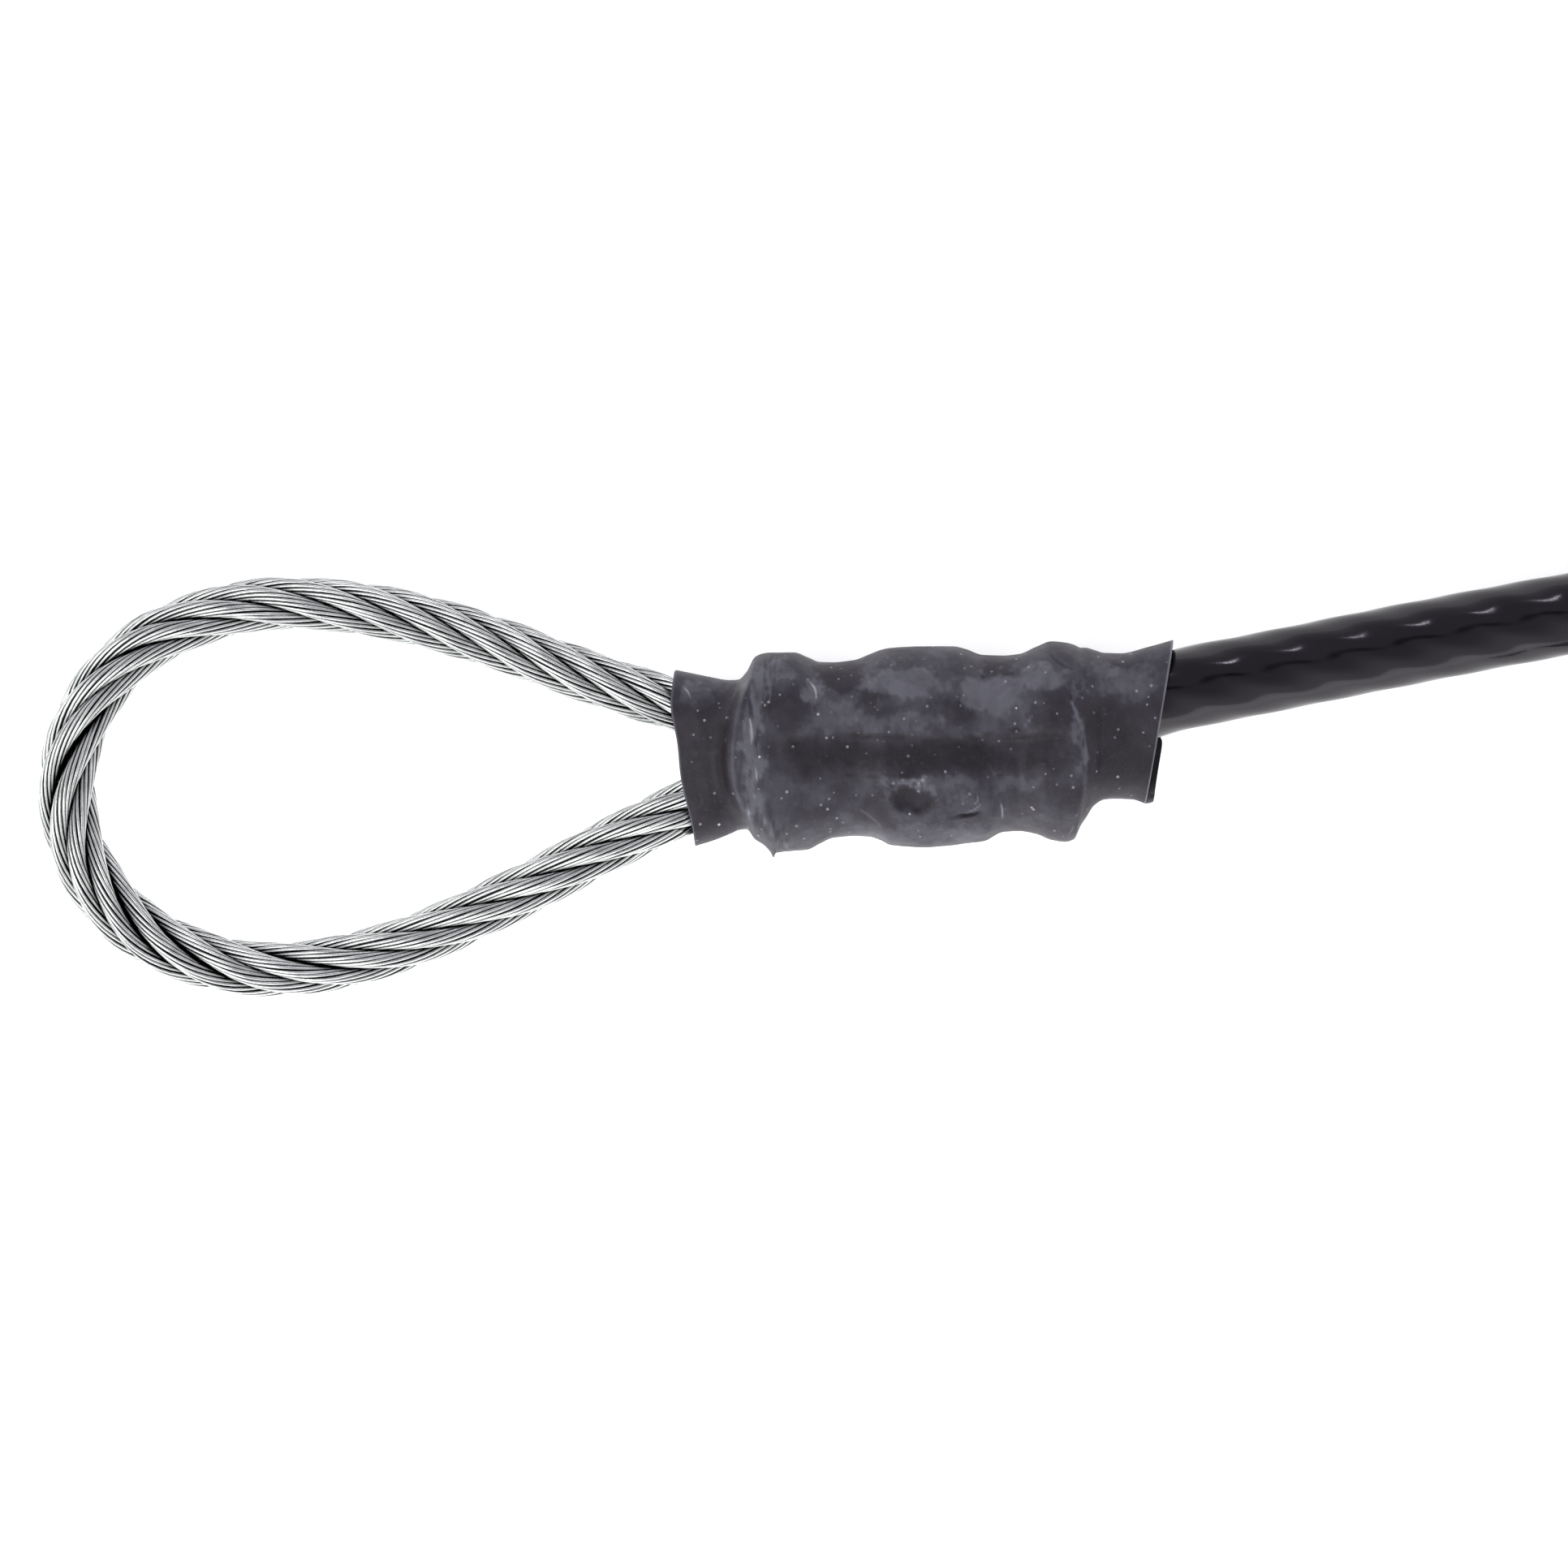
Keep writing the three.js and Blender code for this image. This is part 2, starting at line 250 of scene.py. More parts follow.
class Nodes:
    """A short way to write the nodes of a material or of the world."""

    def __init__(self, owner, coordinates):
        owner.use_nodes = True
        self.tree = owner.node_tree
        self.place = self.add("ShaderNodeTexCoord").outputs[coordinates]

    def add(self, kind, **values):
        node = self.tree.nodes.new(kind)
        for key, value in values.items():
            setattr(node, key, value)
        return node

    def link(self, source, target):
        self.tree.links.new(source, target)

    def fill(self, socket, value):
        """Gives a socket a number, a colour or another node's output."""
        if isinstance(value, (int, float)):
            socket.default_value = value
        elif isinstance(value, tuple):
            socket.default_value = (*value, 1)
        else:
            self.link(value, socket)

    def noise(self, scale, detail=4.0, roughness=0.5, distortion=0.0):
        node = self.add("ShaderNodeTexNoise")
        node.inputs["Scale"].default_value = scale
        node.inputs["Detail"].default_value = detail
        node.inputs["Roughness"].default_value = roughness
        node.inputs["Distortion"].default_value = distortion
        self.link(self.place, node.inputs["Vector"])
        return node.outputs["Fac"]

    def specks(self, scale, full, none):
        """Round specks, white out to the distance full from their middle and black past the distance none."""
        node = self.add("ShaderNodeTexVoronoi", feature="F1")
        node.inputs["Scale"].default_value = scale
        self.link(self.place, node.inputs["Vector"])
        return self.ramp(node.outputs["Distance"], (full, 1.0), (none, 0.0))

    def attribute(self, name):
        return self.add("ShaderNodeAttribute", attribute_name=name).outputs["Fac"]

    def ramp(self, source, *stops):
        node = self.add("ShaderNodeValToRGB")
        elements = node.color_ramp.elements
        while len(elements) < len(stops):
            elements.new(0.5)
        for element, (position, value) in zip(elements, stops):
            element.position = position
            element.color = (*value, 1) if isinstance(value, tuple) else (value, value, value, 1)
        self.link(source, node.inputs["Fac"])
        return node.outputs["Color"]

    def spread(self, source, low, high, at_low=0.0, at_high=1.0, **values):
        """Maps the range from low to high onto the range from at_low to at_high."""
        node = self.add("ShaderNodeMapRange", **values)
        node.inputs["From Min"].default_value = low
        node.inputs["From Max"].default_value = high
        node.inputs["To Min"].default_value = at_low
        node.inputs["To Max"].default_value = at_high
        self.link(source, node.inputs["Value"])
        return node.outputs["Result"]

    def mix(self, amount, a, b, blend="MIX"):
        node = self.add("ShaderNodeMix", data_type="RGBA", blend_type=blend)
        self.fill(node.inputs["Factor"], amount)
        self.fill(node.inputs["A"], a)
        self.fill(node.inputs["B"], b)
        return node.outputs["Result"]

    def bump(self, height, distance, strength=1.0, after=None):
        node = self.add("ShaderNodeBump")
        node.inputs["Strength"].default_value = strength
        node.inputs["Distance"].default_value = distance
        self.link(height, node.inputs["Height"])
        if after is not None:
            self.link(after, node.inputs["Normal"])
        return node.outputs["Normal"]


class Look(Nodes):
    """A material's nodes. place is the position on the object, in metres."""

    def __init__(self, name):
        self.material = bpy.data.materials.new(name)
        super().__init__(self.material, "Object")
        self.shader = self.tree.nodes["Principled BSDF"]

    def set(self, **values):
        for key, value in values.items():
            self.fill(self.shader.inputs[key.replace("_", " ")], value)
        return self.material


def galvanised_wire():
    """Drawn zinc, dull in patches and streaked, with painted shade, near black, where the depth attribute
    says that a point lies deep between wires or strands.
    """
    n = Look("galvanised_wire")
    dull = n.noise(700, 5, 0.6)
    streak = n.noise(3200, 3, 0.6)
    colour = n.mix(n.ramp(dull, (0.4, 0.0), (0.62, 1.0)), (0.88, 0.905, 0.885), (0.65, 0.675, 0.665))
    colour = n.mix(n.ramp(streak, (0.5, 0.0), (0.75, 0.6)), colour, (0.92, 0.94, 0.92))
    # Painted shade: near black on the wires' inner sides, between strands and on the strand cores
    colour = n.mix(n.ramp(n.attribute("depth"), (0.1, 0.0), (0.85, 1.0)), colour, (0.010, 0.010, 0.011))
    rough = n.ramp(n.noise(2500, 4, 0.6), (0.3, 0.18), (0.75, 0.33))
    normal = n.bump(n.noise(7000, 3, 0.6), 0.000012, 0.5)
    return n.set(Base_Color=colour, Metallic=1.0, Roughness=rough, Normal=normal)


def ferrule_metal():
    n = Look("ferrule_metal")
    colour = n.ramp(n.noise(500, 6, 0.65), (0.3, (0.5, 0.5, 0.51)), (0.7, (0.68, 0.68, 0.69)))
    rough = n.ramp(n.noise(900, 5), (0.3, 0.3), (0.7, 0.5))
    normal = n.bump(n.noise(2500, 5, 0.6), 0.00003, 0.5)
    return n.set(Base_Color=colour, Metallic=1.0, Roughness=rough, Normal=normal)


def shrink_plastic():
    """Matt black film, paler and darker after the attribute that holds both its wear and painted highlights
    and shade, with two sizes of dust.
    """
    n = Look("shrink_plastic")
    smears = n.noise(520, 6, 0.62, distortion=0.9)
    grain = n.noise(4600, 3, 0.7)
    base = n.ramp(
        n.spread(n.attribute("wear_and_painted_light"), -1, 2),
        (0.0, (0.0225, 0.0180, 0.0255)),
        (0.30, (0.045, 0.0405, 0.053)),
        (0.47, (0.080, 0.078, 0.098)),
        (0.67, (0.142, 0.143, 0.172)),
        (1.0, (0.50, 0.51, 0.54)),
    )
    base = n.mix(n.ramp(smears, (0.40, 0.0), (0.62, 0.5)), base, (0.55, 0.55, 0.55), "MULTIPLY")
    base = n.mix(n.ramp(grain, (0.58, 0.0), (0.8, 0.3)), base, (0.13, 0.13, 0.14))
    dusty = n.ramp(n.noise(900, 2), (0.45, 0.0), (0.60, 1.0))
    base = n.mix(n.mix(1.0, n.specks(780, 0.045, 0.078), dusty, "MULTIPLY"), base, (0.62, 0.62, 0.64))
    dusty = n.ramp(n.noise(650, 3), (0.43, 0.0), (0.62, 1.0))
    base = n.mix(n.mix(1.0, n.specks(1500, 0.09, 0.16), dusty, "MULTIPLY"), base, (0.30, 0.30, 0.32))
    # The inner wall is near black: partly its dark adhesive lining, partly painted shade inside the mouth
    base = n.mix(n.attribute("inside"), base, (0.006, 0.006, 0.007))
    rough = n.ramp(n.noise(260, 6, 0.6, distortion=0.8), (0.35, 0.45), (0.7, 0.66))
    normal = n.bump(n.noise(1000, 5, 0.6), 0.00005, 0.5)
    normal = n.bump(grain, 0.000014, 0.5, normal)
    return n.set(Base_Color=base, Roughness=rough, Normal=normal, Specular_IOR_Level=0.35)


def jacket_plastic():
    """Glossy black vinyl, faintly plum."""
    n = Look("jacket_plastic")
    base = n.ramp(n.noise(300, 5), (0.3, (0.0045, 0.0034, 0.0052)), (0.7, (0.0075, 0.0060, 0.0085)))
    rough = n.ramp(n.noise(700, 5, 0.6), (0.3, 0.13), (0.75, 0.20))
    normal = n.bump(n.noise(900, 4, 0.55), 0.00003, 0.35)
    tint = (1.0, 0.95, 1.03)
    return n.set(Base_Color=base, Roughness=rough, Normal=normal, Specular_IOR_Level=0.40, Specular_Tint=tint)


def tie_nylon():
    n = Look("tie_nylon")
    base = n.ramp(n.noise(900, 4), (0.3, 0.016), (0.7, 0.028))
    rough = n.ramp(n.noise(1500, 4), (0.3, 0.35), (0.7, 0.5))
    normal = n.bump(n.noise(3500, 3), 0.00002, 0.4)
    return n.set(Base_Color=base, Roughness=rough, Normal=normal)


def table_white():
    """A white table that glows, more on its near side, -Y, so that it comes out pure white; the stronger glow
    there is painted light, as from a lamp on that side.
    """
    n = Look("table_white")
    base = n.ramp(n.noise(6, 3), (0.2, 0.80), (0.8, 0.82))
    parts = n.add("ShaderNodeSeparateXYZ")
    n.link(n.place, parts.inputs["Vector"])
    glow = n.spread(parts.outputs["Y"], -22 * MM, 26 * MM, 1.0, 0.52, interpolation_type="SMOOTHSTEP")
    return n.set(Base_Color=base, Roughness=0.9, Emission_Color=(1, 1, 1), Emission_Strength=glow)


WIRE = galvanised_wire()
FERRULE = ferrule_metal()
SHRINK = shrink_plastic()
JACKET = jacket_plastic()
NYLON = tie_nylon()


# ---------------------------------------------------------------- camera

def camera():
    """Straight above, with the view's width taken at the height of the ferrule's axis."""
    view_width = 91.96 * MM
    height = 0.7
    data = bpy.data.cameras.new("camera")
    data.sensor_width = 36
    data.lens = data.sensor_width * (height - FERRULE_CENTRE.z) / view_width
    data.clip_start = 0.01
    data.clip_end = 20
    made = bpy.data.objects.new("camera", data)
    made.location = (10.5 * MM, 0.05 * MM, height)
    bpy.context.scene.collection.objects.link(made)
    bpy.context.scene.camera = made


camera()


# ---------------------------------------------------------------- cable

def moved(turn, move):
    """How far a move along the coil has gone, from 0 to 1."""
    start, length = move
    return ease((turn - start) / length)


def coil_route():
    """Clockwise from the top: a lower layer wound inwards, an upper one outwards, and a wide leaving arc."""
    steps_per_turn, leaving_steps, leaving_degrees = 72, 9, 7
    leaving_rise = 0.07 * MM
    route = []
    for step in range(int(COIL_TURNS * steps_per_turn) + 1):
        turn = step / steps_per_turn
        inwards = moved(turn, MOVES_INWARDS) - moved(turn, MOVES_OUTWARDS)
        radius = COIL_OUTER_TURN - (COIL_OUTER_TURN - COIL_INNER_TURN) * inwards
        height = LOWER_LAYER + (UPPER_LAYER - LOWER_LAYER) * moved(turn, CLIMBS)
        angle = math.pi / 2 - 2 * math.pi * turn
        x = COIL_CENTRE.x + radius * math.cos(angle)
        y = COIL_CENTRE.y + radius * math.sin(angle)
        route.append((x, y, height))
    start = Vector(route[-1])
    for step in range(1, leaving_steps + 1):
        angle = math.radians(180 - leaving_degrees * step)
        x = start.x + LEAVING_RADIUS * (1 + math.cos(angle))
        y = start.y + LEAVING_RADIUS * math.sin(angle)
        rise = leaving_rise * math.sin(math.pi * step / (2 * leaving_steps))
        route.append((x, y, UPPER_LAYER + rise))
    return route


def cable_path():
    near = [tuple(MM * v for v in p) for p in NEAR_ROUTE]
    far = [tuple(MM * v for v in p) for p in FAR_ROUTE]
    return centripetal(near + coil_route() + far, per_span=8)


def cable():
    """The jacket, with faint relief from the strands inside, stronger on top of the run beside the sleeve."""
    sides, step = 72, 0.55 * MM
    relief, dents, unevenness = 0.008, 0.017, 0.010
    dent_reach = 0.62
    dents_fade, fade_length = 40 * MM, 30 * MM
    lay_start = 1.0 * MM
    path, along = evenly(cable_path(), step)
    left, up = level_frame(path)
    angle = 2 * math.pi * np.arange(sides) / sides
    lay = 2 * math.pi * (along + lay_start) / ROPE_LAY
    lobes = np.cos(OUTER_STRANDS * (angle[None, :] - lay[:, None]))
    swell = np.array([noise.noise(Vector((s * 130, 3.1, 0.7))) for s in along])
    on_top = np.exp(-(((angle - math.pi / 2) / dent_reach) ** 2))[None, :]
    dented = on_top * (1 - ease((along - dents_fade) / fade_length))[:, None]
    radius = CABLE_DIAMETER / 2 * (1 + (relief + dents * dented) * lobes + unevenness * swell[:, None])
    vertices = tube_points(path, left, up, radius, sides)
    quads, caps = ring_faces(len(path), sides)
    piece = new_piece("coated_cable", vertices, quads + caps, JACKET)
    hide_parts("cable_near_run", "cable_coil", "cable_far_run")
    return piece, path, along


CABLE, CABLE_PATH, CABLE_ALONG = cable()


# ---------------------------------------------------------------- wire rope eye

def opening_at_crown(along):
    """How far the strands have opened where the rope bends most, from 0 to 1."""
    crown, reach = 0.5 * along[-1] + 3.5 * MM, 14 * MM
    return np.exp(-(((along - crown) / reach) ** 2))


def strand_line(line, along, index):
    """A strand's centreline round the rope's, and the way outwards from the rope at each of its points."""
    opens, strays, wavers = 0.15, 0.10, 0.012
    shift = 0.04 * MM
    left, up = level_frame(line)
    opened = opening_at_crown(along)
    phase = 2 * math.pi * index / OUTER_STRANDS
    turned = phase + 2 * math.pi * along / ROPE_LAY
    stray = strays * opened * math.sin(2.4 * index + 0.6)
    radius = STRAND_DIAMETER * (1 + opens * opened + wavers * np.sin(along / MM * 0.9 + 2.1 * index))
    outwards = turned_by(turned + stray, left, up)
    return line - shift * opened[:, None] * left + radius[:, None] * outwards, outwards


def wires_of_strand(path, outwards, along, seed):
    """A strand's outer wires and the round of those inside them: vertices, faces and their depths."""
    sides, inner_sides = 8, 12
    full_turn = 6.28
    forward = tangents(path)
    first = square_to(outwards, forward)
    second = np.cross(forward, first)
    random = np.random.default_rng(seed)
    facing = np.cos(2 * math.pi * np.arange(sides) / sides)
    # The side of each wire that faces its strand's middle gets painted shade
    inward_shade = np.broadcast_to(np.clip((0.84 - facing) / 0.5, 0, 1), (len(path), sides)).ravel()
    vertices, faces, depth = [], [], []
    for wire in range(OUTER_WIRES):
        wander = 0.05 * np.sin(along / MM * random.uniform(0.35, 0.7) + random.uniform(0, full_turn))
        angle = 2 * math.pi * wire / OUTER_WIRES - 2 * math.pi * along / WIRE_LAY + wander
        lift = 1 + 0.025 * np.sin(along / MM * random.uniform(0.5, 1.1) + random.uniform(0, full_turn))
        lift = lift + 0.04 * opening_at_crown(along)
        out = turned_by(angle, first, second)
        centre = path + (2 * WIRE_DIAMETER * lift)[:, None] * out
        heading = tangents(centre)
        out = square_to(out, heading)
        radius = WIRE_DIAMETER / 2 * random.uniform(0.97, 1.02)
        quads, caps = ring_faces(len(path), sides, len(vertices) * len(path) * sides)
        vertices.append(tube_points(centre, out, np.cross(heading, out), radius, sides))
        faces += quads + caps
        depth.append(inward_shade)
    start = sum(len(v) for v in vertices)
    quads, caps = ring_faces(len(path), inner_sides, start)
    # The round of inner wires is a plain tube, painted shade all over
    vertices.append(tube_points(path, first, second, 1.45 * WIRE_DIAMETER, inner_sides))
    depth.append(np.ones(len(path) * inner_sides))
    return np.vstack(vertices), faces + quads + caps, np.concatenate(depth)


def depth_in_rope(vertices, line, along, depth):
    """How deep each vertex is between wires or strands, where shade is painted, from 0 to 1."""
    shade_starts, shade_length = 1.34 * MM, 0.31 * MM
    points_at_a_time, far_away = 8, 9.0
    out = np.full(len(vertices), far_away)
    wider = 1 + 0.14 * opening_at_crown(along)
    for start in range(0, len(line), points_at_a_time):
        part = line[start : start + points_at_a_time]
        near = np.where(np.linalg.norm(vertices - part.mean(axis=0), axis=1) < 4 * ROPE_DIAMETER)[0]
        gaps = np.linalg.norm(vertices[near, None, :] - part[None, :, :], axis=2).min(axis=1)
        out[near] = np.minimum(out[near], gaps / wider[start])
    between = np.clip((shade_starts - out) / shade_length, 0, 1)
    return {"depth": np.maximum(depth, between)}


def rope_eye_shapes():
    """The name, vertices, faces and values of each of the near eye's strands."""
    line, along = evenly(centripetal(EYE_ROUTE, 40) * MM, 0.52 * MM)
    left, up = level_frame(line)
    strands = {f"eye_strand_{k}": (k, *strand_line(line, along, k)) for k in range(1, OUTER_STRANDS + 1)}
    core_outwards = turned_by(2 * math.pi * along / ROPE_LAY, left, up)
    strands["eye_core_strand"] = (OUTER_STRANDS + 1, line, core_outwards)
    shapes = []
    for name, (seed, path, outwards) in strands.items():
        vertices, faces, depth = wires_of_strand(path, outwards, along, seed)
        shapes.append((name, vertices, faces, depth_in_rope(vertices, line, along, depth)))
    return shapes


# ---------------------------------------------------------------- sleeve and ferrule

# Outline of the sleeve seen from above, in millimetres: place along X, and its upper and lower edge in Y
SLEEVE_OUTLINE = [
    (4.75, 6.74, -3.6),
    (6.3, 6.36, -3.2),
    (7.4, 6.14, -2.82),
    (7.8, 6.16, -2.66),
    (8.3, 6.62, -2.6),
    (8.8, 7.5, -3.2),
    (9.3, 7.72, -3.52),
    (9.72, 7.77, -3.98),
    (9.88, 7.77, -4.27),
    (10.02, 7.77, -4.0),
    (11.1, 7.76, -3.88),
    (11.9, 7.48, -3.8),
    (12.6, 7.23, -3.45),
    (13.4, 7.2, -3.1),
    (14.6, 7.32, -3.0),
    (15.5, 7.66, -3.05),
    (16.2, 7.92, -3.28),
    (16.8, 8.03, -3.56),
    (18.5, 8.12, -3.66),
    (20.4, 8.13, -3.54),
    (21.2, 7.95, -3.44),
    (22.2, 7.62, -3.32),
    (23.4, 7.58, -2.77),
    (24.3, 7.68, -2.72),
    (25.3, 8.12, -2.88),
    (26.2, 8.43, -3.22),
    (27.0, 8.35, -3.34),
    (27.5, 8.22, -3.2),
    (27.9, 8.05, -2.4),
    (28.2, 8.04, -1.95),
    (28.7, 7.9, -1.2),
    (29.3, 7.73, -0.87),
    (30.0, 7.71, -0.82),
    (31.4, 8.1, -0.86),
    (32.5, 8.5, -1.1),
]

# The sleeve's section, in millimetres: place along X, half the distance between its round sides, and its
# height above and below the rope's axis
SLEEVE_BODY = [
    (4.75, 3.0, 2.1, 2.1),
    (6.3, 2.35, 2.3, 2.35),
    (7.5, 1.95, 2.42, 2.5),
    (8.0, 1.85, 2.75, 3.2),
    (8.45, 1.8, 3.75, 3.75),
    (8.8, 1.75, 4.08, 4.0),
    (9.3, 1.75, 4.0, 4.05),
    (11.1, 1.75, 4.0, 4.05),
    (12.6, 1.75, 3.55, 3.55),
    (14.5, 1.75, 3.55, 3.55),
    (16.5, 1.75, 4.05, 4.05),
    (20.3, 1.75, 4.05, 4.05),
    (22.2, 1.75, 3.55, 3.55),
    (24.0, 1.75, 3.55, 3.55),
    (25.8, 1.75, 4.05, 4.05),
    (27.3, 1.75, 4.0, 4.05),
    (28.3, 1.65, 3.4, 3.45),
    (29.0, 1.45, 2.95, 3.0),
    (30.1, 1.35, 2.87, 2.92),
    (32.5, 1.76, 2.95, 3.0),
]
SLEEVE_ENDS = (SLEEVE_OUTLINE[0][0], SLEEVE_OUTLINE[-1][0])

# The film's thickness, the length of the flare at each end, and the crease's place in Y, in millimetres
SLEEVE_WALL = 0.43
FLARE_LENGTH = 3.2
CREASE = 2.84

# Worn and dusty patches on the top of the sleeve, in millimetres: place in X and Y, half sizes in X and Y,
# and how light or dark
SLEEVE_PATCHES = [
    (5.3, 5.2, 0.9, 0.7, 0.7),
    (6.8, 5.9, 1.3, 0.4, 0.4),
    (8.6, 1.2, 0.45, 3.6, 0.85),
    (9.0, 5.4, 0.6, 1.2, 0.7),
    (10.0, 6.6, 1.0, 0.5, 0.5),
    (12.2, 5.6, 0.5, 0.9, 0.8),
    (10.8, 4.4, 1.4, 1.2, -0.5),
    (13.6, 6.2, 1.6, 0.7, -0.6),
    (13.2, 4.0, 1.8, 0.8, 0.45),
    (15.4, 4.7, 0.6, 0.8, -0.6),
    (17.6, 6.0, 2.6, 0.9, 0.8),
    (17.4, 3.7, 2.8, 0.5, 0.5),
    (20.6, 4.2, 0.7, 0.7, -0.75),
    (22.6, 5.3, 1.7, 1.3, 0.85),
    (22.9, 7.1, 1.1, 0.45, -0.7),
    (25.6, 6.2, 1.5, 0.8, 0.7),
    (26.3, 4.0, 1.2, 1.4, -0.8),
    (25.6, 2.0, 0.9, 0.9, -0.6),
    (27.6, 3.2, 0.25, 2.6, 0.7),
    (30.6, 5.9, 1.8, 1.0, 0.7),
    (29.2, 6.8, 1.0, 0.5, 0.6),
    (12.0, -0.6, 1.2, 0.9, 0.3),
    (17.6, 0.35, 1.5, 0.25, 0.7),
    (20.0, 0.0, 1.6, 0.5, 0.45),
    (24.5, 0.1, 1.4, 0.5, 0.4),
    (14.8, 1.7, 2.4, 0.7, -0.5),
    (20.4, 1.7, 3.2, 0.8, -0.6),
    (11.4, 1.8, 1.1, 1.2, -0.5),
    (21.4, -1.2, 1.6, 0.5, 0.3),
    (18.5, -2.9, 4.5, 0.5, 0.35),
    (30.3, 1.6, 1.8, 1.6, -0.2),
    (6.2, 1.0, 1.2, 2.4, -0.35),
]


def smooth_rows(rows, at):
    """Values between rows, smooth and without overshoot."""
    rows = np.asarray(rows, float)
    x, y = rows[:, 0], rows[:, 1:]
    slope = np.diff(y, axis=0) / np.diff(x)[:, None]
    tangent = np.zeros_like(y)
    tangent[0], tangent[-1] = slope[0], slope[-1]
    for k in range(1, len(x) - 1):
        same = slope[k - 1] * slope[k] > 0
        mean = 2 * slope[k - 1] * slope[k] / np.where(same, slope[k - 1] + slope[k], 1)
        tangent[k] = np.where(same, mean, 0)
    k = np.clip(np.searchsorted(x, at, side="right") - 1, 0, len(x) - 2)
    h = (x[k + 1] - x[k])[:, None]
    t = ((at - x[k]) / (x[k + 1] - x[k]))[:, None]
    return (
        (2 * t**3 - 3 * t**2 + 1) * y[k]
        + (t**3 - 2 * t**2 + t) * h * tangent[k]
        + (3 * t**2 - 2 * t**3) * y[k + 1]
        + (t**3 - t**2) * h * tangent[k + 1]
    )


def bell(value, centre, width):
    return np.exp(-(((value - centre) / width) ** 2))


def step_up(value, centre, width):
    return 1 / (1 + np.exp(-np.clip((value - centre) / width, -40, 40)))


def noises(x, y, z, *parts):
    """A sum of noises, each given by its strength and its scale."""
    places = np.stack([x.ravel(), y.ravel(), z.ravel()], axis=-1)
    total = 0
    for strength, scale in parts:
        values = [noise.noise(Vector(v)) for v in places * scale]
        total = total + strength * np.array(values).reshape(x.shape)
    return total


def left_bend(y):
    """How far the end of the ferrule curves away from its middle."""
    return np.where(y > 1.2, 0.036, 0.088) * (y - 1.2) ** 2


def left_ridge(y):
    """Where the film bends over the near end of the ferrule."""
    return 7.42 + left_bend(y)


def right_ridge(y):
    """Where the film bends over the end of the ferrule beside the cable."""
    return 28.14 - np.where(y > 1.6, 0.087, 0.045) * (y - 1.6) ** 2


def crease_line(x):
    """Where the film falls from the upper lobe into the valley between the rope's legs."""
    return CREASE + 0.10 * np.sin(x * 0.55)


def flares(x):
    """How far each point is into the left and the right flare, from 0 to 1."""
    left_end = np.clip(1 - (x - SLEEVE_ENDS[0]) / FLARE_LENGTH, 0, 1)
    right_end = np.clip(1 - (SLEEVE_ENDS[1] - x) / FLARE_LENGTH, 0, 1)
    return left_end, right_end


def sleeve_shift(x, y, across, sine):
    """How far along X the film's slanted and wavy ends, and its ridges, pull each point."""
    left_end, right_end = flares(x)
    slant = 0.171 * across * right_end - 0.105 * across * left_end
    waves = 0.50 * bell(across, 3.0, 1.9) + 0.33 * bell(across, -0.9, 2.3)
    waves = waves * left_end * np.clip(sine * 3, 0, 1)
    ridges = 0.35 * bell(x, 28.2, 1.7) - (1.22 - left_bend(y)) * bell(x, 8.5, 2.3)
    lower_lip = 0.5 * right_end * np.clip(-sine * 4, 0, 1) * step_up(-y, -2.9, 0.15)
    return slant - waves + ridges * sine**2 + lower_lip


def sleeve_relief(x, y):
    """How far the top of the film stands above its plain section: the crease, scars and two ridges."""
    on_ferrule = step_up(x, 9.4, 0.45) * step_up(-x, -26.9, 0.5)
    crease = crease_line(x) + 0.22 * bell(x, 27.0, 1.6)
    depth = 0.40 + 0.12 * bell(x, 21.5, 3.2) - 0.18 * bell(x, 12, 2.2)
    valley = depth * step_up(crease - y, 0.03, 0.05) * ease(1 - (crease - y) / 2.4)
    relief = on_ferrule * (0.01 * bell(y, crease + 0.42, 0.35) - valley)

    # The pressed oval, with its raised rim and a pinhole
    oval = ((x - 18.0) / 1.0) ** 2 + ((y + 0.75) / 0.74) ** 2
    relief = relief - 0.42 * np.exp(-(oval**1.5)) + 0.10 * np.exp(-((np.sqrt(oval) - 1.35) ** 2) / 0.09)
    relief = relief - 0.10 * bell(x, 18.3, 0.16) * bell(y, -1.35, 0.14)

    # The cut beside it, with a raised lower edge and a dent across its end
    cut = y + 1.76 - 0.16 * (x - 21.0)
    relief = relief - 0.17 * bell(cut, 0, 0.07) * bell(x, 21.1, 0.75)
    relief = relief + 0.08 * bell(cut, -0.2, 0.13) * bell(x, 21.1, 0.8)
    relief = relief - 0.09 * bell(x - 0.35 * (y + 1), 21.7, 0.10) * bell(y, -0.9, 0.6)

    # Two small folds, and the ridges over the ferrule's ends
    relief = relief + 0.06 * bell(x, 23.3, 0.08) * bell(y, -1.5, 0.4)
    relief = relief + 0.07 * bell(x - 0.4 * bell(y, 1.4, 1.5), 22.6, 0.16) * bell(y, 0.9, 0.45)
    relief = relief + 0.07 * bell(x, left_ridge(y), 0.16) * bell(y, 1.8, 3.4)
    return relief + 0.07 * bell(x, right_ridge(y), 0.14) * bell(y, 2.0, 3.4)


